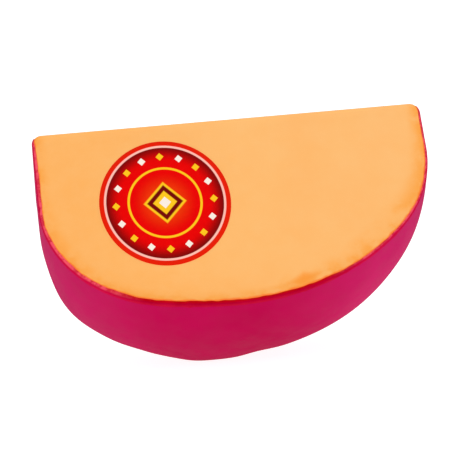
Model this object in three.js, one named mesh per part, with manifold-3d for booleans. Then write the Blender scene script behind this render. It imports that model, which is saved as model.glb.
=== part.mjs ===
// A quarter of a waxed ball cheese, cut twice along the line that joins the ball's two poles.
//
// Millimetres, +Z up. The cheese stands as it balances: the straight edge where the two cuts meet is
// level along X at the top, the two cut faces slope down to the front (-Y) and to the back (+Y), and
// the rind is underneath. The origin is on the table, straight below the middle of that edge.

import * as THREE from "three";
import { mergeVertices } from "three/addons/utils/BufferGeometryUtils.js";
import Module from "manifold-3d";

const wasm = await Module();
wasm.setup();

// The whole ball, before the cuts. It is a little fuller towards its left pole.
const POLE_TO_POLE = 118;
const BELLY_RADIUS = 71.4;
const BELLY_X = -3.6;
const LEFT_POLE = { flatRadius: 29.4, shoulderRadius: 40.5 };
const RIGHT_POLE = { flatRadius: 17.8, shoulderRadius: 45.9 };

// The two cuts, and the angle of cheese that stays between them.
const CUT_ANGLE = THREE.MathUtils.degToRad(90);

// The coat of wax, thicker round the belly than at the poles, and the gap that separate solids keep.
const POLE_WAX = 1.2;
const BELLY_WAX = 1.9;
const GAP = 0.3;

// The small flat spot that it stands on: the rind has sagged a little there, and is pressed flat.
const FOOT_X = -8;
const FOOT_SAG = 1;
const FOOT_SPREAD = 28;
const FOOT_PRESSED = 0.45;
const EDGE_HEIGHT = BELLY_RADIUS + FOOT_SAG - FOOT_PRESSED;

// The oval paper label on the front cut face, placed from the middle of the straight edge.
const LABEL_WIDTH = 39.2;
const LABEL_HEIGHT = 48;
const LABEL_THICKNESS = 0.25;
const LABEL_X = -21.2;
const LABEL_DOWN = 31.2;

// How finely round shapes are faceted.
const TURN_STEPS = 96;
const FLAT_STEPS = 3;
const SHOULDER_STEPS = 8;
const BELLY_STEPS = 9;
const LABEL_STEPS = 64;

const CHEESE = new THREE.MeshStandardMaterial({ color: 0xfdb86e, roughness: 0.5, metalness: 0 });
const WAX = new THREE.MeshStandardMaterial({ color: 0xbd1b50, roughness: 0.42, metalness: 0 });
const PAPER = new THREE.MeshStandardMaterial({ color: 0xd3232b, roughness: 0.35, metalness: 0 });

// How deep each surface lies inside the ball's skin.
const SKIN = { atPole: 0, atBelly: 0 };
const UNDER_WAX = { atPole: POLE_WAX, atBelly: BELLY_WAX };
const PASTE = { atPole: POLE_WAX + GAP, atBelly: BELLY_WAX + GAP };

// Points along an arc of the skin, moved inwards, from one angle to another, the first one left out.
// The angles are measured from the line through the poles.
function arcPoints(centre, radius, depth, from, to, steps) {
  const points = [];
  for (let step = 1; step <= steps; step += 1) {
    const angle = from + ((to - from) * step) / steps;
    const inset = THREE.MathUtils.lerp(depth.atPole, depth.atBelly, Math.sin(angle) ** 2);
    const spoke = new THREE.Vector2(Math.sin(angle), Math.cos(angle));
    points.push(spoke.multiplyScalar(radius - inset).add(centre));
  }
  return points;
}

// Half of the ball's outline, from a pole to the belly, as (radius, distance from the belly).
// A flat end, a shoulder arc and a belly arc each run smoothly into the next. The two arcs touch
// on the line through their centres, which sets the belly arc's radius.
function halfOutline(pole, reach, depth) {
  const shoulder = new THREE.Vector2(pole.flatRadius, reach - pole.shoulderRadius);
  const rise = BELLY_RADIUS - pole.flatRadius;
  const bellyArc =
    (shoulder.y ** 2 + rise ** 2 - pole.shoulderRadius ** 2) / (2 * (rise - pole.shoulderRadius));
  const belly = new THREE.Vector2(BELLY_RADIUS - bellyArc, 0);
  const meet = Math.atan2(shoulder.x - belly.x, shoulder.y);

  const points = [];
  for (let step = 0; step <= FLAT_STEPS; step += 1) {
    points.push(new THREE.Vector2((pole.flatRadius * step) / FLAT_STEPS, reach - depth.atPole));
  }
  points.push(...arcPoints(shoulder, pole.shoulderRadius, depth, 0, meet, SHOULDER_STEPS));
  points.push(...arcPoints(belly, bellyArc, depth, meet, Math.PI / 2, BELLY_STEPS));
  return points;
}

// The ball's outline from the left pole to the right one, as (radius, X).
function outline(depth) {
  const left = halfOutline(LEFT_POLE, POLE_TO_POLE / 2 + BELLY_X, depth);
  const right = halfOutline(RIGHT_POLE, POLE_TO_POLE / 2 - BELLY_X, depth);
  const fromLeft = left.map((point) => new THREE.Vector2(point.x, BELLY_X - point.y));
  const toRight = right.map((point) => new THREE.Vector2(point.x, BELLY_X + point.y)).reverse();
  return fromLeft.concat(toRight.slice(1));
}

// Lets the underside sag around the foot, most at its middle and not at all past its spread.
function sag(geometry) {
  const position = geometry.getAttribute("position");
  for (let i = 0; i < position.count; i += 1) {
    const away = Math.hypot(position.getX(i) - FOOT_X, position.getY(i)) / FOOT_SPREAD;
    if (position.getZ(i) < 0 && away < 1) {
      position.setZ(i, position.getZ(i) - FOOT_SAG * (1 - away ** 2) ** 2);
    }
  }
}

function toSolid(geometry) {
  geometry.deleteAttribute("normal");
  geometry.deleteAttribute("uv");
  const merged = mergeVertices(geometry, 1e-4);
  const index = merged.index.array;
  const corners = [];
  for (let i = 0; i < index.length; i += 3) {
    const [a, b, c] = index.slice(i, i + 3);
    if (a !== b && b !== c && c !== a) corners.push(a, b, c);
  }
  const mesh = new wasm.Mesh({
    numProp: 3,
    vertProperties: new Float32Array(merged.getAttribute("position").array),
    triVerts: new Uint32Array(corners),
  });
  return new wasm.Manifold(mesh);
}

function toGeometry(solid) {
  const mesh = solid.getMesh();
  const geometry = new THREE.BufferGeometry();
  geometry.setAttribute("position", new THREE.BufferAttribute(mesh.vertProperties, 3));
  geometry.setIndex(new THREE.BufferAttribute(mesh.triVerts, 1));
  const flat = geometry.toNonIndexed();
  flat.computeVertexNormals();
  return flat;
}

// Everything more than a height above the table, as seen with the straight edge on the X axis.
function aboveTable(height) {
  const size = 2 * POLE_TO_POLE;
  const box = new THREE.BoxGeometry(size, size, size);
  return toSolid(box.translate(0, 0, size / 2 + height - EDGE_HEIGHT));
}

// The whole ball, a given depth inside its skin, sagged and pressed flat where it stands.
function ball(depth) {
  const lathe = new THREE.LatheGeometry(outline(depth), TURN_STEPS);
  // Half a step of turn keeps the lathe's own edges off the cuts.
  lathe.rotateY(Math.PI / TURN_STEPS);
  lathe.rotateZ(-Math.PI / 2);
  sag(lathe);
  return toSolid(lathe).intersect(aboveTable(depth.atBelly));
}

// The room between the two cuts: a wedge with its edge on the X axis, opening downwards.
function betweenCuts() {
  const deep = 2 * BELLY_RADIUS;
  const wide = deep * Math.tan(CUT_ANGLE / 2);
  const wedge = new THREE.Shape([
    new THREE.Vector2(0, 0),
    new THREE.Vector2(deep, -wide),
    new THREE.Vector2(deep, wide),
  ]);
  const length = 2 * POLE_TO_POLE;
  const prism = new THREE.ExtrudeGeometry(wedge, { depth: length, bevelEnabled: false });
  prism.translate(0, 0, -length / 2);
  return toSolid(prism.rotateY(Math.PI / 2));
}

function part(name, geometry, material) {
  const mesh = new THREE.Mesh(geometry, material);
  mesh.name = name;
  return mesh;
}

// The paste of the cheese: a solid quarter, all the way to the inside of the wax.
function cheese() {
  const solid = ball(PASTE).intersect(betweenCuts());
  return part("cheese", toGeometry(solid), CHEESE);
}

// The wax: a skin over the rind. It ends at the cuts, so it is open on both cut faces.
function waxCoat() {
  const coat = ball(SKIN).subtract(ball(UNDER_WAX));
  return part("wax_coat", toGeometry(coat.intersect(betweenCuts())), WAX);
}

// The label: a thin oval of paper, flat on its face.
function label() {
  const oval = new THREE.Shape();
  oval.absellipse(0, 0, LABEL_WIDTH / 2, LABEL_HEIGHT / 2, 0, 2 * Math.PI);
  const options = { depth: LABEL_THICKNESS, bevelEnabled: false, curveSegments: LABEL_STEPS };
  return part("label", new THREE.ExtrudeGeometry(oval, options), PAPER);
}

// The front cut face's own frame: x along the straight edge, y up the face, z out of it.
const frontFace = new THREE.Group();
frontFace.rotation.x = Math.PI / 2 - CUT_ANGLE / 2;
const sticker = label();
sticker.position.set(LABEL_X, -LABEL_DOWN, GAP);
frontFace.add(sticker);

const quarter = new THREE.Group();
quarter.position.z = EDGE_HEIGHT;
quarter.add(cheese(), waxCoat(), frontFace);

const model = new THREE.Group();
model.add(quarter);

export default model;
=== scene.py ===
"""A quarter of a waxed ball cheese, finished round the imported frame.

The ball was cut twice along the line between its two poles. It stands on its rind, with the straight
edge where the cuts meet on top. Metres, +Z up, -Y to the front.
"""

import math

import bpy
import numpy as np
from mathutils import Euler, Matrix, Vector


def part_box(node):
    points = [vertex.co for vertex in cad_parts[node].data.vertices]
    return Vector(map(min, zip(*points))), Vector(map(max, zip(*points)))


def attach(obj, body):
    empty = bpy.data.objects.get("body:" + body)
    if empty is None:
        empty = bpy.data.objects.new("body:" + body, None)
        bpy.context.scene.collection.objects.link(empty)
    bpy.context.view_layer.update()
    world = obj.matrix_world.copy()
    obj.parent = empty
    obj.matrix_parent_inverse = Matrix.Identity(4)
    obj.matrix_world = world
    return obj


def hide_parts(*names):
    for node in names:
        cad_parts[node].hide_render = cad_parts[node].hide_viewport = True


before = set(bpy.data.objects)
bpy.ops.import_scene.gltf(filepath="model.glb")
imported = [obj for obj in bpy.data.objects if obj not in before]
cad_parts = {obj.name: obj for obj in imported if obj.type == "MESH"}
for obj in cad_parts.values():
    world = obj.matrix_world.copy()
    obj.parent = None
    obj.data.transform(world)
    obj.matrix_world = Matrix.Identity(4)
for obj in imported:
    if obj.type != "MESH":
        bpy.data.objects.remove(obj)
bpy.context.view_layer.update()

MM = 0.001

# The ball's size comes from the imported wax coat, which is open at the two cuts.
WAX_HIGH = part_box("wax_coat")[1]
CUT_HALF_ANGLE = math.radians(45)
EDGE_HEIGHT = WAX_HIGH.z
SKIN_INSET = 0.04 * MM
HALF_LENGTH = WAX_HIGH.x - SKIN_INSET
BELLY_RADIUS = WAX_HIGH.y / math.sin(CUT_HALF_ANGLE) - SKIN_INSET

# The rest of the ball's shape, as the frame has it.
BELLY_X = -3.6 * MM
LEFT_POLE = {"flat": 29.4 * MM, "shoulder": 40.5 * MM - SKIN_INSET}
RIGHT_POLE = {"flat": 17.8 * MM, "shoulder": 45.9 * MM - SKIN_INSET}
FOOT_X = -8 * MM
FOOT_SAG = 1 * MM + SKIN_INSET
FOOT_SPREAD = 28 * MM
FLOOR_GAP = 0.005 * MM

# A ball hung up to ripen is never quite round. Each soft dent in the rind: X, turn from straight
# down, depth, and how far it spreads along and around. A depth below 0 is a swelling.
DENTS = [
    (-51.5 * MM, math.radians(-5), -1.0 * MM, 6 * MM, math.radians(20)),
    (-33 * MM, math.radians(-5), 0.4 * MM, 6 * MM, math.radians(20)),
    (-16 * MM, math.radians(-5), -0.5 * MM, 6.5 * MM, math.radians(16)),
    (3.5 * MM, math.radians(-5), 0.65 * MM, 6 * MM, math.radians(18)),
    (37 * MM, math.radians(-5), -0.65 * MM, 17 * MM, math.radians(24)),
]

# The wax: thin at the poles, thicker round the belly, and worn away at the sharp corners. A few
# nicks along each cut keep off the corners too.
POLE_WAX = 0.95 * MM
BELLY_WAX = 1.5 * MM
CORNER_WEAR = 6 * MM
LIP = 0.4 * MM
NICKS = 11
NICK_KEEPS_OFF = 12 * MM

# The cheese: how far the straight edge and its two corners are rounded off.
EDGE_ROUND = 0.18 * MM
CORNER_ROUND = 3 * MM
SEAM = 0.02 * MM

# The label, as the frame has it, lying on the front cut.
LABEL_LOW, LABEL_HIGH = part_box("label")
LABEL_MIDDLE = (LABEL_LOW + LABEL_HIGH) / 2
LABEL_HALF_WIDTH = (LABEL_HIGH.x - LABEL_LOW.x) / 2
LABEL_HALF_HEIGHT = (LABEL_HIGH.z - LABEL_LOW.z) / 2 / math.cos(CUT_HALF_ANGLE)
LABEL_DOWN = (EDGE_HEIGHT - LABEL_MIDDLE.z) / math.cos(CUT_HALF_ANGLE)
LABEL_PROUD = 0.14 * MM
LABEL_SUNK = 0.08 * MM

# How many steps each surface is made of.
STATIONS = 360
SKIN_COLUMNS = 96
LIP_COLUMNS = 8
STRIP_COLUMNS = 4
HIDDEN_COLUMNS = 16
FACE_COLUMNS = 58
LABEL_RINGS = 30
LABEL_SPOKES = 160


# ---------------------------------------------------------------- the ball's outline


def half_outline(pole, reach):
    """Points, from a pole to the belly, as X, radius and the angle of the outward normal.

    A flat end, a shoulder arc and a belly arc, each running smoothly into the next.
    """
    along = reach - pole["shoulder"]
    rise = BELLY_RADIUS - pole["flat"]
    gap = rise - pole["shoulder"]
    belly_arc = (along**2 + rise**2 - pole["shoulder"] ** 2) / (2 * gap)
    meet = math.atan2(pole["flat"] - (BELLY_RADIUS - belly_arc), along)
    flat = np.linspace(0, pole["flat"], 40)
    first = np.linspace(0, meet, 160)[1:]
    second = np.linspace(meet, math.pi / 2, 160)[1:]
    x = [
        np.full_like(flat, reach),
        along + pole["shoulder"] * np.cos(first),
        belly_arc * np.cos(second),
    ]
    radius = [
        flat,
        pole["flat"] + pole["shoulder"] * np.sin(first),
        BELLY_RADIUS - belly_arc + belly_arc * np.sin(second),
    ]
    angle = [np.zeros_like(flat), first, second]
    return np.concatenate(x), np.concatenate(radius), np.concatenate(angle)


def outline(count):
    """Evenly spaced stations from the left pole to the right one.

    Gives the distance along the outline, X, radius, and the outward normal in X and radius.
    """
    left_x, left_r, left_a = half_outline(LEFT_POLE, HALF_LENGTH + BELLY_X)
    right_x, right_r, right_a = half_outline(RIGHT_POLE, HALF_LENGTH - BELLY_X)
    x = np.concatenate([BELLY_X - left_x, BELLY_X + right_x[-2::-1]])
    radius = np.concatenate([left_r, right_r[-2::-1]])
    normal_x = np.concatenate([-np.cos(left_a), np.cos(right_a[-2::-1])])
    normal_r = np.concatenate([np.sin(left_a), np.sin(right_a[-2::-1])])
    step = np.hypot(np.diff(x), np.diff(radius))
    distance = np.concatenate([[0], np.cumsum(step)])
    at = np.linspace(0, distance[-1], count + 1)
    return (at, *(np.interp(at, distance, values) for values in (x, radius, normal_x, normal_r)))


ALONG, OUT_X, OUT_R, NORMAL_X, NORMAL_R = outline(STATIONS)
FROM_POLE = np.minimum(ALONG, ALONG[-1] - ALONG)


def ease(value, low, high):
    """0 below low, 1 above high, and smooth between."""
    part = np.clip((value - low) / (high - low), 0, 1)
    return part * part * (3 - 2 * part)


def wander(step, seed):
    """A smooth random wave from -1 to 1 along the outline, with a new height every step."""
    knots = np.random.default_rng(seed).uniform(-1, 1, int(ALONG[-1] / step) + 3)
    place = ALONG / step
    low = np.floor(place).astype(int)
    part = ease(place - low, 0, 1)
    return knots[low] * (1 - part) + knots[low + 1] * part


def wax_thickness():
    """The wax's thickness at each station: it also thins from left to right."""
    even = POLE_WAX + (BELLY_WAX - POLE_WAX) * NORMAL_R**2
    even = even * (1.15 - 0.43 * ease(OUT_X, -35 * MM, 45 * MM))
    uneven = even * (1 + 0.12 * wander(9 * MM, 3) + 0.1 * wander(2 * MM, 4))
    return uneven * (0.08 + 0.92 * ease(FROM_POLE, 0, CORNER_WEAR))


def nicks(seed):
    """How deep the wax is nicked at each station, along one cut."""
    rng = np.random.default_rng(seed)
    depth = np.zeros_like(ALONG)
    for _ in range(NICKS):
        middle = rng.uniform(NICK_KEEPS_OFF, ALONG[-1] - NICK_KEEPS_OFF)
        half_width = rng.uniform(0.5, 1.5) * MM
        deepest = rng.uniform(0.08, 0.4) * MM
        depth = np.maximum(depth, deepest * np.exp(-(((ALONG - middle) / half_width) ** 4)))
    return depth


THICKNESS = wax_thickness()


# ---------------------------------------------------------------- points on the ball


def dented(turn):
    """How deep the rind is dented at each station, for a turn from straight down."""
    depth = np.zeros_like(ALONG)
    for x, middle, deepest, spread, turn_spread in DENTS:
        reach = ((OUT_X - x) / spread) ** 2 + ((turn - middle) / turn_spread) ** 2
        depth += deepest * np.exp(-reach)
    on_side = ease(NORMAL_R, 0.15, 0.5)
    return depth * on_side * ease(math.pi / 4 - np.abs(turn), 0, math.radians(14))


def skin_points(depth, turn, floor):
    """A point for each station, a depth inside the skin and turned from straight down."""
    inside = depth + dented(turn)
    x = OUT_X - inside * NORMAL_X
    radius = np.maximum(OUT_R - inside * NORMAL_R, 0)
    points = np.stack([x, radius * np.sin(turn), EDGE_HEIGHT - radius * np.cos(turn)], axis=1)
    return sag(points, floor)


def cut_points(depth, inward, side):
    """A point for each station by a cut: a depth inside the skin, and inward of the cut."""
    x = OUT_X - depth * NORMAL_X
    radius = np.maximum(OUT_R - depth * NORMAL_R, 0)
    sine = math.sin(CUT_HALF_ANGLE)
    cosine = math.cos(CUT_HALF_ANGLE)
    y = side * (radius * sine - inward * cosine)
    return np.stack([x, y, EDGE_HEIGHT - radius * cosine - inward * sine], axis=1)


def sag(points, floor):
    """Lets the underside sag round the foot, and presses it flat at a height above the table."""
    away = np.hypot(points[:, 0] - FOOT_X, points[:, 1]) / FOOT_SPREAD
    drop = FOOT_SAG * (1 - np.minimum(away, 1) ** 2) ** 2
    points[:, 2] = np.maximum(points[:, 2] - drop, floor + FLOOR_GAP)
    return points


def soften_edges(rings):
    """Rounds off the straight edge, and the two corners at its ends."""
    x, y, z = np.moveaxis(rings, -1, 0)
    down = np.hypot(EDGE_HEIGHT - z, EDGE_ROUND)
    inside = HALF_LENGTH - np.abs(x)
    across = np.maximum(CORNER_ROUND - inside, 0)
    below = np.maximum(CORNER_ROUND - down, 0)
    corner = (across > 0) & (below > 0)
    pull = np.where(corner, np.maximum(across, below) / np.maximum(np.hypot(across, below), 1e-9), 1)
    new_inside = np.where(corner, CORNER_ROUND - across * pull, inside)
    new_down = np.where(corner, CORNER_ROUND - below * pull, down)
    return np.stack(
        [np.sign(x) * (HALF_LENGTH - new_inside), y * new_down / down, EDGE_HEIGHT - new_down],
        axis=-1,
    )


# ---------------------------------------------------------------- meshes


class Rings:
    """Collects columns of points, each with a few numbers, and joins them into a closed mesh."""

    def __init__(self):
        self.points = []
        self.values = []

    def add(self, points, **values):
        self.points.append(points)
        self.values.append({key: np.broadcast_to(v, len(points)) for key, v in values.items()})

    def mesh(self, name):
        """One ring for each station, drawn to a point at each end."""
        rings = soften_edges(np.stack(self.points, axis=1))
        stations, columns, _ = rings.shape
        last_ring = (stations - 3) * columns
        start = np.arange(0, last_ring, columns)[:, None]
        here = np.arange(columns)
        after = (here + 1) % columns
        corners = [start + here, start + after, start + columns + after, start + columns + here]
        quads = np.stack(corners, axis=-1).reshape(-1, 4)
        first_end = (stations - 2) * columns
        first_cap = [(first_end, (i + 1) % columns, i) for i in range(columns)]
        last_cap = [(first_end + 1, last_ring + i, last_ring + (i + 1) % columns)
                    for i in range(columns)]
        points = np.concatenate([rings[1:-1].reshape(-1, 3), rings[[0, -1]].mean(axis=1)])
        mesh = bpy.data.meshes.new(name)
        mesh.from_pydata(points.tolist(), [], quads.tolist() + first_cap + last_cap)
        for key in self.values[0]:
            value = np.stack([column[key] for column in self.values], axis=1)
            ends = value[[0, -1]].mean(axis=1)
            layer = mesh.attributes.new(key, "FLOAT", "POINT")
            layer.data.foreach_set("value", np.concatenate([value[1:-1].ravel(), ends]))
        return mesh


def wax_mesh():
    """The coat of wax: the skin, a soft lip at each cut, the cut itself, and the hidden inside."""
    lip = np.minimum.reduce([np.full(STATIONS + 1, LIP), 0.45 * THICKNESS, 0.3 * OUT_R])
    turn = CUT_HALF_ANGLE - np.arcsin(np.clip(lip / np.maximum(OUT_R, 1e-6), 0, 0.5))

    def cut_side(side, seed):
        """Columns from the skin, round the lip, and across the cut to the cheese."""
        nick = nicks(seed)
        proud = 0.07 * MM * wander(4 * MM, seed + 10) * ease(FROM_POLE, 0, 8 * MM)
        columns = []
        for step in range(LIP_COLUMNS + 1):
            bend = math.pi / 2 * step / LIP_COLUMNS
            depth = lip * (1 - math.cos(bend)) + 0.6 * nick * math.sin(bend)
            inward = (lip + nick) * (1 - math.sin(bend)) - proud * math.sin(bend)
            columns.append((cut_points(depth, inward, side), math.sin(bend) ** 2))
        rim = lip + 0.6 * nick
        for step in range(1, STRIP_COLUMNS + 1):
            across = step / STRIP_COLUMNS
            depth = rim + (THICKNESS - rim) * across
            columns.append((cut_points(depth, -proud * (1 - across), side), 1 + across))
        return columns

    rings = Rings()
    for points, cut in reversed(cut_side(-1, 21)):
        rings.add(sag(points, 0), cut=cut, from_cut=0, give=0)
    for step in range(1, SKIN_COLUMNS):
        angle = turn * (2 * step / SKIN_COLUMNS - 1)
        from_cut = OUT_R * (CUT_HALF_ANGLE - np.abs(angle))
        points = skin_points(0, angle, 0)
        give = ease(from_cut, 0.4 * MM, 5 * MM) * ease(points[:, 2], 0.1 * MM, 1.5 * MM)
        rings.add(points, cut=0, from_cut=from_cut, give=give)
    for points, cut in cut_side(1, 22):
        rings.add(sag(points, 0), cut=cut, from_cut=0, give=0)
    for step in range(1, HIDDEN_COLUMNS):
        angle = CUT_HALF_ANGLE * (1 - 2 * step / HIDDEN_COLUMNS)
        rings.add(skin_points(THICKNESS, angle, THICKNESS), cut=2, from_cut=0, give=0)
    return rings.mesh("wax_coat_finish")


def face_fractions():
    """Places from the straight edge to the rim: close together at both, and even between."""
    near_edge = 0.036 * np.linspace(0, 1, 10) ** 1.8
    near_rim = 1 - 0.022 * np.linspace(1, 0, 6) ** 1.8
    between = np.linspace(near_edge[-1], near_rim[0], FACE_COLUMNS)[1:-1]
    return np.concatenate([near_edge, between, near_rim])


def under_label(points):
    """1 where the front cut lies under the label, and 0 well away from it."""
    across = (points[:, 0] - LABEL_MIDDLE.x) / LABEL_HALF_WIDTH
    down = (EDGE_HEIGHT - points[:, 2]) / math.cos(CUT_HALF_ANGLE)
    upright = (down - LABEL_DOWN) / LABEL_HALF_HEIGHT
    return 1 - ease(np.hypot(across, upright), 1.0, 1.25)


def cheese_mesh():
    """The paste: the two cut faces, the straight edge between them, and the side under the wax."""
    inside = THICKNESS + SEAM
    axis_x = np.linspace(-1, 1, STATIONS + 1) * (HALF_LENGTH - inside[0])
    axis = np.stack([axis_x, np.zeros_like(axis_x), np.full_like(axis_x, EDGE_HEIGHT)], axis=1)

    def face(side):
        """Columns from the straight edge to the rim, with how far each point is from the rim."""
        rim = cut_points(inside, 0, side)
        length = np.linalg.norm(rim - axis, axis=1)
        columns = []
        for part in face_fractions():
            points = axis + (rim - axis) * part
            give = ease(length * (1 - part), 0.2 * MM, 3 * MM) * ease(length * part, 0, 2 * MM)
            if side < 0:
                give = give * (1 - 0.85 * under_label(points))
            columns.append((points, length * (1 - part), give))
        return columns

    rings = Rings()
    for points, from_rim, give in reversed(face(1)):
        rings.add(points, from_rim=from_rim, give=give)
    for points, from_rim, give in face(-1)[1:]:
        rings.add(points, from_rim=from_rim, give=give)
    for step in range(1, HIDDEN_COLUMNS):
        angle = CUT_HALF_ANGLE * (2 * step / HIDDEN_COLUMNS - 1)
        rings.add(skin_points(inside, angle, inside), from_rim=0, give=0)
    return rings.mesh("cheese_finish")


def label_mesh():
    """A thin oval of paper with a soft edge, lying on the front cut, with its print laid flat."""
    turns = np.linspace(0, 2 * math.pi, LABEL_SPOKES, endpoint=False)
    top = [(part, LABEL_PROUD) for part in np.linspace(0.97, 0, LABEL_RINGS)[:-1]]
    edge = [(0.97 + 0.03 * math.sin(a), -LABEL_SUNK + (LABEL_PROUD + LABEL_SUNK) * (1 + math.cos(a)) / 2)
            for a in np.linspace(math.pi, 0, 9)]
    loops = edge[:-1] + top
    points = []
    places = []
    for part, height in loops:
        points += [label_point(part * math.cos(a), part * math.sin(a), height) for a in turns]
        places += [(part * math.cos(a), part * math.sin(a)) for a in turns]
    middle = len(points)
    points += [label_point(0, 0, LABEL_PROUD), label_point(0, 0, -LABEL_SUNK)]
    places += [(0, 0), (0, 0)]
    faces = []
    for ring in range(len(loops) - 1):
        for i in range(LABEL_SPOKES):
            j = (i + 1) % LABEL_SPOKES
            low = ring * LABEL_SPOKES
            faces.append((low + i, low + j, low + LABEL_SPOKES + j, low + LABEL_SPOKES + i))
    last = (len(loops) - 1) * LABEL_SPOKES
    for i in range(LABEL_SPOKES):
        j = (i + 1) % LABEL_SPOKES
        faces.append((last + i, last + j, middle))
        faces.append((j, i, middle + 1))
    mesh = bpy.data.meshes.new("label_finish")
    mesh.from_pydata(points, [], faces)
    layer = mesh.uv_layers.new(name="print")
    for loop in mesh.loops:
        across, up = places[loop.vertex_index]
        layer.data[loop.index].uv = (0.5 + 0.5 * across, 0.5 + 0.5 * up)
    return mesh


def label_point(across, up, height):
    """A point on the label: across and up are parts of its half width and half height."""
    slack = 0.03 * MM * math.sin(5 * across + 1) * math.sin(4 * up + 2.2 * across)
    down = LABEL_DOWN - up * LABEL_HALF_HEIGHT
    sine = math.sin(CUT_HALF_ANGLE)
    cosine = math.cos(CUT_HALF_ANGLE)
    out = height + slack * max(height, 0) / LABEL_PROUD
    x = LABEL_MIDDLE.x + across * LABEL_HALF_WIDTH
    return (x, -(down * sine + out * cosine), EDGE_HEIGHT - down * cosine + out * sine)


def place(name, mesh, sharp_angle):
    """Puts a mesh in the scene, smooth except where it turns more than an angle in degrees."""
    mesh.polygons.foreach_set("use_smooth", np.ones(len(mesh.polygons), bool))
    mesh.set_sharp_from_angle(angle=math.radians(sharp_angle))
    mesh.update()
    piece = bpy.data.objects.new(name, mesh)
    bpy.context.scene.collection.objects.link(piece)
    return piece


# ---------------------------------------------------------------- nodes


class Tree:
    """Adds nodes to a node tree and joins them up."""

    def __init__(self, tree):
        self.tree = tree

    def add(self, kind, inputs=None, **settings):
        """A new node. Each input takes a value, or another node's output."""
        node = self.tree.nodes.new(kind)
        for name, value in settings.items():
            setattr(node, name, value)
        for name, value in (inputs or {}).items():
            self.join(value, node.inputs[name])
        return node

    def join(self, value, socket):
        if isinstance(value, bpy.types.NodeSocket):
            self.tree.links.new(value, socket)
        else:
            socket.default_value = value

    def math(self, operation, *values):
        """The result of a Math node."""
        node = self.add("ShaderNodeMath", dict(enumerate(values)), operation=operation)
        return node.outputs[0]

    def step(self, value, low, high, to_low=0.0, to_high=1.0):
        """A smooth step from one value to another, as the first goes from low to high."""
        inputs = {"Value": value, "From Min": low, "From Max": high, "To Min": to_low, "To Max": to_high}
        return self.add("ShaderNodeMapRange", inputs, interpolation_type="SMOOTHSTEP").outputs[0]

    def blend(self, amount, first, second, how="MIX"):
        """Two colours mixed by an amount."""
        node = self.add("ShaderNodeMix", {0: amount, 6: first, 7: second}, data_type="RGBA")
        node.blend_type = how
        return node.outputs[2]

    def group(self, group, **inputs):
        """A node group, with its inputs by name."""
        node = self.add("ShaderNodeGroup", node_tree=group)
        for name, value in inputs.items():
            self.join(value, node.inputs[name.replace("_", " ")])
        return node.outputs[0]


def shader_group(name, inputs, output):
    """An empty shader node group. Gives its tree, its inputs and its output socket."""
    group = bpy.data.node_groups.new(name, "ShaderNodeTree")
    for label, kind, value in inputs:
        socket = group.interface.new_socket(label, in_out="INPUT", socket_type=kind)
        if value is not None:
            socket.default_value = value
    group.interface.new_socket(output, in_out="OUTPUT", socket_type="NodeSocketFloat")
    tree = Tree(group)
    given = tree.add("NodeGroupInput").outputs
    result = tree.add("NodeGroupOutput").inputs[0]
    return group, tree, given, result


def make_blotches():
    """Soft uneven blotches, from 0 to 1."""
    group, tree, given, result = shader_group(
        "blotches",
        [
            ("Place", "NodeSocketVector", None),
            ("Size", "NodeSocketFloat", 10 * MM),
            ("Roughness", "NodeSocketFloat", 0.5),
            ("Seed", "NodeSocketFloat", 0.0),
        ],
        "Amount",
    )
    noise = tree.add(
        "ShaderNodeTexNoise",
        {
            "Vector": given["Place"],
            "W": given["Seed"],
            "Scale": tree.math("DIVIDE", 1.0, given["Size"]),
            "Detail": 4.0,
            "Roughness": given["Roughness"],
        },
        noise_dimensions="4D",
    )
    tree.join(tree.step(noise.outputs[0], 0.28, 0.72), result)
    return group


def make_fine_grain():
    """A fine grain with a slow swell under it, as a height in metres."""
    group, tree, given, result = shader_group(
        "fine_grain",
        [
            ("Place", "NodeSocketVector", None),
            ("Swell Size", "NodeSocketFloat", 3 * MM),
            ("Swell Height", "NodeSocketFloat", 0.03 * MM),
            ("Grain Size", "NodeSocketFloat", 0.6 * MM),
            ("Grain Height", "NodeSocketFloat", 0.01 * MM),
        ],
        "Height",
    )
    total = 0.0
    for layer, detail in (("Swell", 2.0), ("Grain", 5.0)):
        noise = tree.add(
            "ShaderNodeTexNoise",
            {
                "Vector": given["Place"],
                "Scale": tree.math("DIVIDE", 1.0, given[layer + " Size"]),
                "Detail": detail,
            },
        )
        height = tree.math("MULTIPLY", noise.outputs[0], given[layer + " Height"])
        total = tree.math("ADD", total, height)
    tree.join(total, result)
    return group


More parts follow.
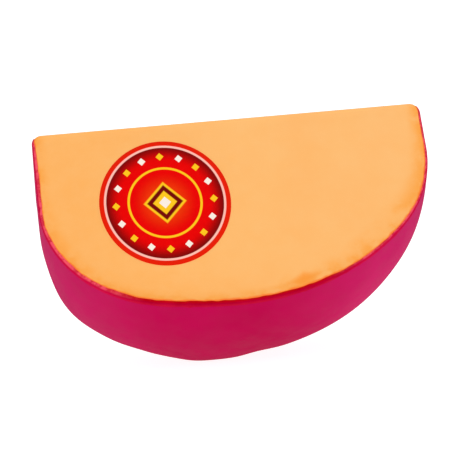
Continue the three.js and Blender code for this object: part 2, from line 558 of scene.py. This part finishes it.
def make_uneven_surface():
    """Geometry Nodes: sinks a surface by uneven amounts, where its "give" attribute lets it."""
    group = bpy.data.node_groups.new("uneven_surface", "GeometryNodeTree")
    sockets = [
        ("Geometry", "NodeSocketGeometry"),
        ("Dip Depth", "NodeSocketFloat"),
        ("Dip Size", "NodeSocketFloat"),
        ("Ripple Depth", "NodeSocketFloat"),
        ("Ripple Size", "NodeSocketFloat"),
        ("Seed", "NodeSocketFloat"),
        ("Finish", "NodeSocketMaterial"),
    ]
    for label, kind in sockets:
        group.interface.new_socket(label, in_out="INPUT", socket_type=kind)
    group.interface.new_socket("Geometry", in_out="OUTPUT", socket_type="NodeSocketGeometry")
    tree = Tree(group)
    given = tree.add("NodeGroupInput").outputs
    give = tree.add("GeometryNodeInputNamedAttribute", {"Name": "give"}, data_type="FLOAT")
    place_now = tree.add("GeometryNodeInputPosition").outputs[0]
    normal = tree.add("GeometryNodeInputNormal").outputs[0]
    depth = 0.0
    for layer, detail in (("Dip", 1.0), ("Ripple", 3.0)):
        noise = tree.add(
            "ShaderNodeTexNoise",
            {
                "Vector": place_now,
                "W": given["Seed"],
                "Scale": tree.math("DIVIDE", 1.0, given[layer + " Size"]),
                "Detail": detail,
            },
            noise_dimensions="4D",
        )
        sunk = tree.math("MULTIPLY", noise.outputs[0], given[layer + " Depth"])
        depth = tree.math("ADD", depth, sunk)
    amount = tree.math("MULTIPLY", depth, tree.math("MULTIPLY", give.outputs[0], -1.0))
    offset = tree.add("ShaderNodeVectorMath", {0: normal, "Scale": amount}, operation="SCALE")
    moved = tree.add(
        "GeometryNodeSetPosition", {"Geometry": given["Geometry"], "Offset": offset.outputs[0]}
    )
    real = tree.add("GeometryNodeRealizeInstances", {"Geometry": moved.outputs[0]})
    finish = tree.add(
        "GeometryNodeSetMaterial", {"Geometry": real.outputs[0], "Material": given["Finish"]}
    )
    tree.join(finish.outputs[0], tree.add("NodeGroupOutput").inputs[0])
    return group


def make_uneven(piece, **inputs):
    """Runs the uneven surface tree on a piece, and keeps the plain mesh that comes out."""
    modifier = piece.modifiers.new("uneven_surface", "NODES")
    modifier.node_group = UNEVEN_SURFACE
    identifiers = {
        item.name: item.identifier
        for item in UNEVEN_SURFACE.interface.items_tree
        if item.in_out == "INPUT"
    }
    for name, value in inputs.items():
        modifier[identifiers[name.replace("_", " ")]] = value
    evaluated = piece.evaluated_get(bpy.context.evaluated_depsgraph_get())
    mesh = bpy.data.meshes.new_from_object(evaluated)
    plain = piece.data
    piece.modifiers.remove(modifier)
    piece.data = mesh
    bpy.data.meshes.remove(plain)
    mesh.name = piece.name


BLOTCHES = make_blotches()
FINE_GRAIN = make_fine_grain()
UNEVEN_SURFACE = make_uneven_surface()


# ---------------------------------------------------------------- materials


def new_material(name):
    """An empty material. Gives it with its tree, its main shader and its Object coordinates."""
    material = bpy.data.materials.new(name)
    material.use_nodes = True
    tree = Tree(material.node_tree)
    shader = material.node_tree.nodes["Principled BSDF"]
    place_on = tree.add("ShaderNodeTexCoord").outputs["Object"]
    return material, tree, shader, place_on


# The wax's colours. Two in a bracket are mixed in blotches.
WAX_BELLY = ((0.4, 0.0, 0.054, 1), (0.445, 0.0, 0.066, 1))
# Painted sheen: the skin's colour at the ends is paler and pinker, standing in for light glancing off
# the sides.
WAX_ENDS_PAINTED_SHEEN = ((0.5, 0.006, 0.102, 1), (0.55, 0.012, 0.12, 1))
WAX_DARKER = (0.36, 0.0, 0.045, 1)
WAX_LIP = ((0.4, 0.0, 0.02, 1), (0.47, 0.0, 0.03, 1))
WAX_END_LIP = (0.53, 0.0, 0.045, 1)
WAX_INSIDE = ((0.46, 0.0, 0.004, 1), (0.56, 0.001, 0.008, 1))
# A painted pink highlight along the lip near the ends, standing in for light caught by the lip's rounded
# edge.
PAINTED_LIP_HIGHLIGHT = (0.9, 0.085, 0.13, 1)

# Where the wax has no painted sheen, how far from there the painted sheen turns it paler, how far from
# the belly its lip turns a lighter crimson and takes a painted pink highlight, and how far the lip's
# colour runs on to the skin.
SHEEN_FREE_X = -11 * MM
PAINTED_SHEEN_SPREAD = (12 * MM, 56 * MM)
END_LIP_AND_HIGHLIGHT = (26 * MM, 42 * MM)
LIP_COLOUR_FROM = 0.2 * MM
LIP_COLOUR_TO = (0.6 * MM, 1.3 * MM)


def make_wax_material():
    """Crimson cheese wax: satin outside, a purer red where it is cut, painted paler towards the ends as
    a sheen, and with a painted pink highlight along the lip near the ends.
    """
    material, tree, shader, place_on = new_material("crimson_wax")
    cut = tree.add("ShaderNodeAttribute", attribute_name="cut").outputs["Fac"]
    from_cut = tree.add("ShaderNodeAttribute", attribute_name="from_cut").outputs["Fac"]
    broad = tree.group(BLOTCHES, Place=place_on, Size=22 * MM, Seed=1.0)
    small = tree.group(BLOTCHES, Place=place_on, Size=5 * MM, Roughness=0.6, Seed=2.0)
    tiny = tree.group(BLOTCHES, Place=place_on, Size=2.2 * MM, Roughness=0.7, Seed=3.0)
    along = tree.add("ShaderNodeSeparateXYZ", {0: place_on}).outputs["X"]
    from_sheen_free = tree.math("ABSOLUTE", tree.math("SUBTRACT", along, SHEEN_FREE_X))
    from_belly = tree.math("ABSOLUTE", tree.math("SUBTRACT", along, BELLY_X))
    near_end = tree.step(from_belly, *END_LIP_AND_HIGHLIGHT)

    belly = tree.blend(broad, *WAX_BELLY)
    # The ends are painted paler as a sheen, growing away from the unsheened middle of the belly.
    ends = tree.blend(broad, *WAX_ENDS_PAINTED_SHEEN)
    skin = tree.blend(tree.step(from_sheen_free, *PAINTED_SHEEN_SPREAD), belly, ends)
    skin = tree.blend(tree.math("MULTIPLY", small, 0.2), skin, WAX_DARKER)
    lip = tree.blend(near_end, tree.blend(small, *WAX_LIP), WAX_END_LIP)
    lip_colour_to = tree.step(small, 0.0, 1.0, *LIP_COLOUR_TO)
    colour = tree.blend(tree.step(from_cut, LIP_COLOUR_FROM, lip_colour_to), lip, skin)
    colour = tree.blend(tree.step(cut, 0.9, 1.7), colour, tree.blend(small, *WAX_INSIDE))
    # A painted pink highlight on the lip near the ends, patchy where the small blotches fall.
    lip_highlight = tree.math("MULTIPLY", near_end, tree.step(cut, 0.7, 1.3))
    lip_highlight = tree.math("MULTIPLY", lip_highlight, tree.step(tiny, 0.2, 0.8, 0.3, 1.0))
    tree.join(tree.blend(lip_highlight, colour, PAINTED_LIP_HIGHLIGHT), shader.inputs["Base Color"])
    gloss = tree.step(cut, 0.1, 1.0, 0.065, 0.01)
    gloss = tree.math("MULTIPLY", gloss, tree.step(small, 0.0, 1.0, 0.8, 1.3))
    tree.join(gloss, shader.inputs["Coat Weight"])
    shader.inputs["Coat Roughness"].default_value = 0.3
    shader.inputs["Roughness"].default_value = 0.6
    shader.inputs["Specular IOR Level"].default_value = 0.0
    height = tree.group(
        FINE_GRAIN,
        Place=place_on,
        Swell_Size=4.5 * MM,
        Swell_Height=0.09 * MM,
        Grain_Size=0.5 * MM,
        Grain_Height=0.006 * MM,
    )
    bump = tree.add("ShaderNodeBump", {"Height": height, "Distance": 1.0, "Strength": 1.0})
    tree.join(bump.outputs[0], shader.inputs["Normal"])
    tree.join(bump.outputs[0], shader.inputs["Coat Normal"])
    return material


# The paste's colours. Two in a bracket are mixed in blotches.
PASTE_LEFT = ((0.95, 0.415, 0.095, 1), (0.95, 0.445, 0.118, 1))
PASTE_RIGHT = ((0.95, 0.475, 0.155, 1), (0.95, 0.515, 0.18, 1))
PASTE_PALE = (0.95, 0.52, 0.2, 1)
PASTE_BLUSH = (0.94, 0.4, 0.085, 1)
PASTE_RIM = (0.94, 0.365, 0.058, 1)
PASTE_SPOT = (0.94, 0.31, 0.035, 1)
PASTE_STAIN = (0.93, 0.15, 0.012, 1)

# How wide the deeper colour by the rim is, how much wider it grows to the right and where, the
# middle of the darker spot, and how far the wax stains the paste.
RIM_WIDTH = (4 * MM, 10 * MM)
RIM_WIDER = 6 * MM
RIM_WIDER_X = (20 * MM, 36 * MM)
SPOT_X = 16.5 * MM
SPOT_FROM_RIM = 2.6 * MM
STAIN_WIDTH = (0.4 * MM, 1.2 * MM)


def make_cheese_material():
    """Orange paste: mottled, deeper in colour and stained by the wax close to the rim."""
    material, tree, shader, place_on = new_material("orange_paste")
    from_rim = tree.add("ShaderNodeAttribute", attribute_name="from_rim").outputs["Fac"]
    broad = tree.group(BLOTCHES, Place=place_on, Size=28 * MM, Seed=5.0)
    small = tree.group(BLOTCHES, Place=place_on, Size=4 * MM, Roughness=0.6, Seed=6.0)
    medium = tree.group(BLOTCHES, Place=place_on, Size=6 * MM, Roughness=0.6, Seed=7.0)
    blush = tree.group(BLOTCHES, Place=place_on, Size=9 * MM, Roughness=0.6, Seed=8.0)
    parts = tree.add("ShaderNodeSeparateXYZ", {0: place_on}).outputs

    slant = tree.math("ADD", parts["X"], tree.math("MULTIPLY", parts["Z"], 0.4))
    left = tree.blend(broad, *PASTE_LEFT)
    right = tree.blend(broad, *PASTE_RIGHT)
    colour = tree.blend(tree.step(slant, -45 * MM, 80 * MM), left, right)
    colour = tree.blend(tree.math("MULTIPLY", small, 0.25), colour, PASTE_PALE)
    colour = tree.blend(tree.math("MULTIPLY", blush, 0.2), colour, PASTE_BLUSH)

    wider = tree.step(parts["X"], *RIM_WIDER_X, 0.0, RIM_WIDER)
    width = tree.math("ADD", tree.step(broad, 0.2, 0.9, *RIM_WIDTH), wider)
    deeper = tree.step(from_rim, 0.6 * MM, width, 1.0, 0.0)
    deeper = tree.math("MULTIPLY", deeper, tree.step(medium, 0.1, 0.8, 0.35, 1.15))
    colour = tree.blend(tree.math("MULTIPLY", deeper, 0.85), colour, PASTE_RIM)

    along = tree.math("ABSOLUTE", tree.math("SUBTRACT", parts["X"], SPOT_X))
    inward = tree.math("ABSOLUTE", tree.math("SUBTRACT", from_rim, SPOT_FROM_RIM))
    from_spot = tree.math("ADD", tree.math("MULTIPLY", along, 0.5), inward)
    colour = tree.blend(tree.step(from_spot, 0.6 * MM, 3.8 * MM, 0.9, 0.0), colour, PASTE_SPOT)

    stain_width = tree.step(small, 0.0, 1.0, *STAIN_WIDTH)
    stain = tree.step(from_rim, 0.1 * MM, stain_width, 0.85, 0.0)
    tree.join(tree.blend(stain, colour, PASTE_STAIN), shader.inputs["Base Color"])
    tree.join(tree.step(small, 0.0, 1.0, 0.45, 0.6), shader.inputs["Roughness"])
    shader.inputs["Specular IOR Level"].default_value = 0.12
    height = tree.group(
        FINE_GRAIN,
        Place=place_on,
        Swell_Size=6 * MM,
        Swell_Height=0.08 * MM,
        Grain_Size=0.7 * MM,
        Grain_Height=0.01 * MM,
    )
    bump = tree.add("ShaderNodeBump", {"Height": height, "Distance": 1.0, "Strength": 1.0})
    tree.join(bump.outputs[0], shader.inputs["Normal"])
    return material


def make_diamond():
    """A plain diamond: 1 inside and 0 outside. Sizes are in millimetres on the label."""
    group, tree, given, result = shader_group(
        "printed_diamond",
        [
            ("Place", "NodeSocketVector", None),
            ("Across", "NodeSocketFloat", 0.0),
            ("Up", "NodeSocketFloat", 0.0),
            ("Half Width", "NodeSocketFloat", 1.0),
            ("Half Height", "NodeSocketFloat", 1.0),
        ],
        "Mask",
    )
    far = []
    parts = tree.add("ShaderNodeSeparateXYZ", {0: given["Place"]}).outputs
    for axis, middle, half in (("X", "Across", "Half Width"), ("Y", "Up", "Half Height")):
        from_middle = tree.math("ABSOLUTE", tree.math("SUBTRACT", parts[axis], given[middle]))
        far.append(tree.math("DIVIDE", from_middle, given[half]))
    tree.join(tree.step(tree.math("ADD", *far), 1.05, 0.95), result)
    return group


DIAMOND = make_diamond()

# The label's colours.
RED = (0.81, 0.0, 0.0, 1)
MAROON = (0.17, 0.001, 0.001, 1)
ORANGE_RED = (0.76, 0.012, 0.001, 1)
ORANGE = (0.9, 0.2, 0.004, 1)
PALE_PINK = (0.98, 0.5, 0.42, 1)
GOLD = (0.95, 0.55, 0.012, 1)
CREAM = (0.93, 0.82, 0.72, 1)

# The label's plain pattern: diamonds inside each other in the middle, as colour, half width and
# half height in millimetres, and a ring of small ones round them, gold and cream by turns.
MIDDLE_DIAMONDS = [(GOLD, 6.4, 8.0), (MAROON, 5.4, 6.8), (GOLD, 3.6, 4.6), (CREAM, 1.8, 2.3)]
RING_COUNT = 16
RING_RADIUS = 0.745
RING_DIAMOND = (1.2, 1.5)
GLOW_RADIUS = 0.5


def make_print(tree, in_mm, colour):
    """Prints the diamonds over a colour."""
    diamonds = [(ink, 0, 0, *half) for ink, *half in MIDDLE_DIAMONDS]
    for i in range(RING_COUNT):
        turn = 2 * math.pi * i / RING_COUNT
        across = RING_RADIUS * LABEL_HALF_WIDTH / MM * math.sin(turn)
        up = RING_RADIUS * LABEL_HALF_HEIGHT / MM * math.cos(turn)
        diamonds.append(((GOLD, CREAM)[i % 2], across, up, *RING_DIAMOND))
    for ink, across, up, half_width, half_height in diamonds:
        mask = tree.group(
            DIAMOND,
            Place=in_mm,
            Across=across,
            Up=up,
            Half_Width=half_width,
            Half_Height=half_height,
        )
        colour = tree.blend(mask, colour, ink)
    return colour


def oval_band(tree, radius, low, high):
    """1 in an oval band between two radii, and 0 outside it."""
    rising = tree.step(radius, low, low + 0.01)
    return tree.math("MULTIPLY", rising, tree.step(radius, high, high - 0.01))


def make_label_material():
    """Coated paper with a plain print: a red oval with a pale ring, a gold band and diamonds."""
    material, tree, shader, place_on = new_material("printed_paper")
    print_on = tree.add("ShaderNodeUVMap", uv_map="print").outputs[0]
    halfway = {0: print_on, 1: (0.5, 0.5, 0)}
    centred = tree.add("ShaderNodeVectorMath", halfway, operation="SUBTRACT").outputs[0]
    length = tree.add("ShaderNodeVectorMath", {0: centred}, operation="LENGTH").outputs["Value"]
    radius = tree.math("MULTIPLY", length, 2.0)
    size_mm = (2 * LABEL_HALF_WIDTH / MM, 2 * LABEL_HALF_HEIGHT / MM, 1)
    in_mm = tree.add("ShaderNodeMapping", {"Vector": centred, "Scale": size_mm}).outputs[0]
    uneven = tree.group(BLOTCHES, Place=place_on, Size=1.2 * MM, Roughness=0.6, Seed=11.0)
    red = tree.blend(tree.math("MULTIPLY", uneven, 0.08), RED, MAROON)
    red = tree.blend(tree.step(radius, 0.0, GLOW_RADIUS, 0.35, 0.0), red, ORANGE)
    colour = tree.blend(tree.step(radius, 0.66, 0.92), red, MAROON)
    colour = tree.blend(oval_band(tree, radius, 0.53, 0.575), colour, GOLD)
    colour = make_print(tree, in_mm, colour)
    colour = tree.blend(tree.step(radius, 0.902, 0.912), colour, ORANGE_RED)
    colour = tree.blend(oval_band(tree, radius, 0.888, 0.932), colour, PALE_PINK)
    tree.join(colour, shader.inputs["Base Color"])
    tree.join(tree.step(uneven, 0.0, 1.0, 0.35, 0.5), shader.inputs["Roughness"])
    shader.inputs["Specular IOR Level"].default_value = 0.02
    height = tree.group(
        FINE_GRAIN,
        Place=place_on,
        Swell_Size=8 * MM,
        Swell_Height=0.04 * MM,
        Grain_Size=0.4 * MM,
        Grain_Height=0.003 * MM,
    )
    bump = tree.add("ShaderNodeBump", {"Height": height, "Distance": 1.0, "Strength": 1.0})
    tree.join(bump.outputs[0], shader.inputs["Normal"])
    return material


wax = place("wax_coat_finish", wax_mesh(), 50)
make_uneven(
    wax,
    Dip_Depth=0.12 * MM,
    Dip_Size=18 * MM,
    Ripple_Depth=0.03 * MM,
    Ripple_Size=4 * MM,
    Seed=1.0,
    Finish=make_wax_material(),
)
cheese = place("cheese_finish", cheese_mesh(), 50)
make_uneven(
    cheese,
    Dip_Depth=0.3 * MM,
    Dip_Size=20 * MM,
    Ripple_Depth=0.05 * MM,
    Ripple_Size=3 * MM,
    Seed=2.0,
    Finish=make_cheese_material(),
)
label = place("label_finish", label_mesh(), 60)
label.data.materials.append(make_label_material())

for piece, node, slot in (
    (wax, "wax_coat", "wax"),
    (cheese, "cheese", "cheese"),
    (label, "label", "label_paper"),
):
    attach(piece, "root")
    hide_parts(node)


# ---------------------------------------------------------------- floor, light and camera


FLOOR_HALF = 15
FLOOR_COLOURS = ((0.4, 0.4, 0.4, 1), (0.42, 0.42, 0.42, 1))
FLOOR_GLOW = 0.92
ROOM_LIGHT = 0.6
WHITE = (1, 1, 1, 1)


def make_floor():
    """A wide pale floor, level with the object's foot, that glows a little to stay pale."""
    mesh = bpy.data.meshes.new("floor")
    corners = [(-1, -1), (1, -1), (1, 1), (-1, 1)]
    points = [(FLOOR_HALF * x, FLOOR_HALF * y, 0) for x, y in corners]
    mesh.from_pydata(points, [], [(0, 1, 2, 3)])
    material, tree, shader, place_on = new_material("pale_floor")
    speckle = tree.group(BLOTCHES, Place=place_on, Size=50 * MM, Seed=9.0)
    tree.join(tree.blend(speckle, *FLOOR_COLOURS), shader.inputs["Base Color"])
    shader.inputs["Emission Color"].default_value = WHITE
    shader.inputs["Emission Strength"].default_value = FLOOR_GLOW
    shader.inputs["Roughness"].default_value = 0.8
    shader.inputs["Specular IOR Level"].default_value = 0.1
    mesh.materials.append(material)
    floor = bpy.data.objects.new("floor", mesh)
    bpy.context.scene.collection.objects.link(floor)


def make_world():
    """Even white light from all round."""
    world = bpy.data.worlds.new("studio")
    world.use_nodes = True
    background = world.node_tree.nodes["Background"]
    background.inputs["Color"].default_value = WHITE
    background.inputs["Strength"].default_value = ROOM_LIGHT
    bpy.context.scene.world = world


def make_softbox(name, at, look_at, size, power):
    """A square soft light that faces a point, with its power in watts."""
    data = bpy.data.lights.new(name, "AREA")
    data.size = size
    data.energy = power
    softbox = bpy.data.objects.new(name, data)
    softbox.location = at
    softbox.rotation_euler = (Vector(look_at) - Vector(at)).to_track_quat("-Z", "Y").to_euler()
    bpy.context.scene.collection.objects.link(softbox)


LOOK_AT = Vector((-2.29 * MM, 0, EDGE_HEIGHT - 32.55 * MM))
CAMERA_DISTANCE = 1214 * MM
CAMERA_AZIMUTH = math.radians(3.32)
CAMERA_ELEVATION = math.radians(5.52)
CAMERA_ROLL = math.radians(-4.73)
LENS_MM = 317.9


def make_camera():
    data = bpy.data.cameras.new("camera")
    data.lens = LENS_MM
    data.sensor_width = 36
    data.clip_start = 0.05
    data.clip_end = 30
    camera = bpy.data.objects.new("camera", data)
    bpy.context.scene.collection.objects.link(camera)
    away = Vector((
        -math.sin(CAMERA_AZIMUTH) * math.cos(CAMERA_ELEVATION),
        -math.cos(CAMERA_AZIMUTH) * math.cos(CAMERA_ELEVATION),
        math.sin(CAMERA_ELEVATION),
    ))
    camera.location = LOOK_AT + away * CAMERA_DISTANCE
    upright = away.to_track_quat("Z", "Y").to_matrix()
    roll = Euler((0, 0, CAMERA_ROLL)).to_matrix()
    camera.rotation_euler = (upright @ roll).to_euler()
    bpy.context.scene.camera = camera


make_floor()
make_world()
make_softbox("overhead", (0.4, -0.3, 1.6), (0, 0, 0), 1.4, 5)
make_softbox("front", (-0.4, -2.3, 0.8), (0, 0, 0.03), 1.6, 17)
make_camera()
bpy.context.scene.view_settings.view_transform = "Standard"
